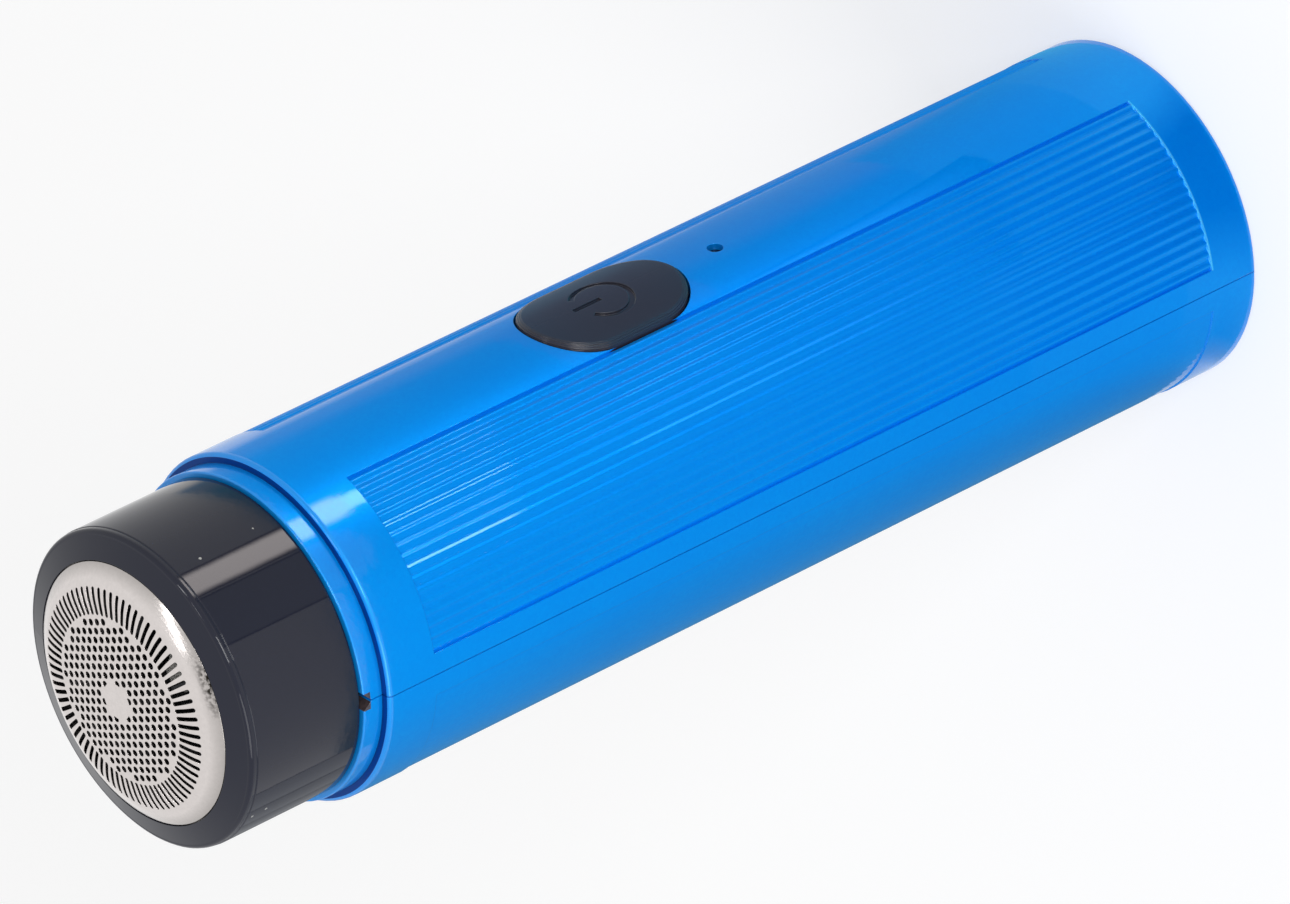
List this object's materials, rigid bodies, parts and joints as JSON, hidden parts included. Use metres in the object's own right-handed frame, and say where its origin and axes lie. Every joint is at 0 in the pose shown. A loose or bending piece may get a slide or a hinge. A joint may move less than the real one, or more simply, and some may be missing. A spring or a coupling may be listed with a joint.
{
  "type": "electric shaver",
  "caption": "Pocket rotary shaver: round body of two half shells with ribbed grip panels, pull-off head with a perforated foil, spinning cutter and a power button.",
  "frame": {"origin": "centre of the flat base that the shaver stands on", "axes": "+Z from the base along the body's axis to the foil; the power button faces -Y"},
  "size_m": [0.033, 0.0334, 0.1207],
  "materials": {
    "shell_blue": "glossy metallic blue paint over moulded ABS",
    "cap_black": "glossy moulded black ABS",
    "foil_steel": "satin stainless sheet with a polished rim",
    "blade_steel": "ground stainless",
    "spring_steel": "drawn wire",
    "screw_steel": "zinc plated",
    "shaft_steel": "ground",
    "can_steel": "nickel plated",
    "white_plastic": "moulded",
    "grey_plastic": "moulded",
    "button_black": "satin moulded black ABS",
    "rubber_black": "moulded",
    "magnet_grey": "sintered ferrite",
    "core_steel": "stacked laminations",
    "copper": "enamelled copper wire",
    "brass": "stamped",
    "nickel": "nickel strip",
    "cell_green": "shrink sleeve",
    "board_green": "solder mask",
    "chip_black": "moulded",
    "switch_red": "moulded",
    "clear": "clear acrylic",
    "led_white": "moulded",
    "wire_red": "insulation",
    "wire_black": "insulation"
  },
  "bodies": {
    "root": {"front_shell": "shell_blue", "back_shell": "shell_blue", "shaft_seal": "rubber_black", "neck_deck": "grey_plastic", "deck_seal": "rubber_black", "motor_screws": "screw_steel", "motor_can": "can_steel", "motor_magnets": "magnet_grey", "motor_end_cap": "white_plastic", "motor_terminals": "brass", "chassis": "white_plastic", "chassis_screws": "screw_steel", "battery_cell": "cell_green", "battery_tabs": "nickel", "circuit_board": "board_green", "board_parts": "chip_black", "board_screws": "screw_steel", "charge_socket": "nickel", "switch_body": "chip_black", "led": "led_white", "light_pipe": "clear", "motor_leads": "wire_red", "battery_leads": "wire_black"},
    "head": {"head_cap": "cap_black", "foil": "foil_steel", "foil_retainer": "grey_plastic"},
    "rotor": {"motor_shaft": "shaft_steel", "motor_armature": "core_steel", "motor_windings": "copper", "drive_coupler": "white_plastic", "cutter_spring": "spring_steel"},
    "cutter": {"cutter_carrier": "white_plastic", "cutter_blades": "blade_steel"},
    "button": {"power_button": "button_black"},
    "plunger": {"switch_plunger": "switch_red"}
  },
  "joints": [
    {"name": "head_pull", "type": "slide", "parent": "root", "child": "head", "axis": [0, 0, 1], "range_m": [0, 0.022]},
    {"name": "rotor_spin", "type": "hinge", "parent": "root", "child": "rotor", "pos_m": [0, 0, 0.1], "axis": [0, 0, 1], "continuous": true},
    {"name": "cutter_float", "type": "slide", "parent": "rotor", "child": "cutter", "axis": [0, 0, -1], "range_m": [0, 0.0008], "stiffness_N_per_m": 400, "springref_m": -0.001, "deforming": ["cutter_spring"]},
    {"name": "button_press", "type": "slide", "parent": "root", "child": "button", "axis": [0, 1, 0], "range_m": [0, 0.0004], "stiffness_N_per_m": 500, "springref_m": -0.0006},
    {"name": "plunger_press", "type": "slide", "parent": "root", "child": "plunger", "axis": [0, 1, 0], "range_m": [0, 0.00025]}
  ],
  "couplings": [
    {"joint": "plunger_press", "follows": "button_press", "ratio": 0.625}
  ]
}
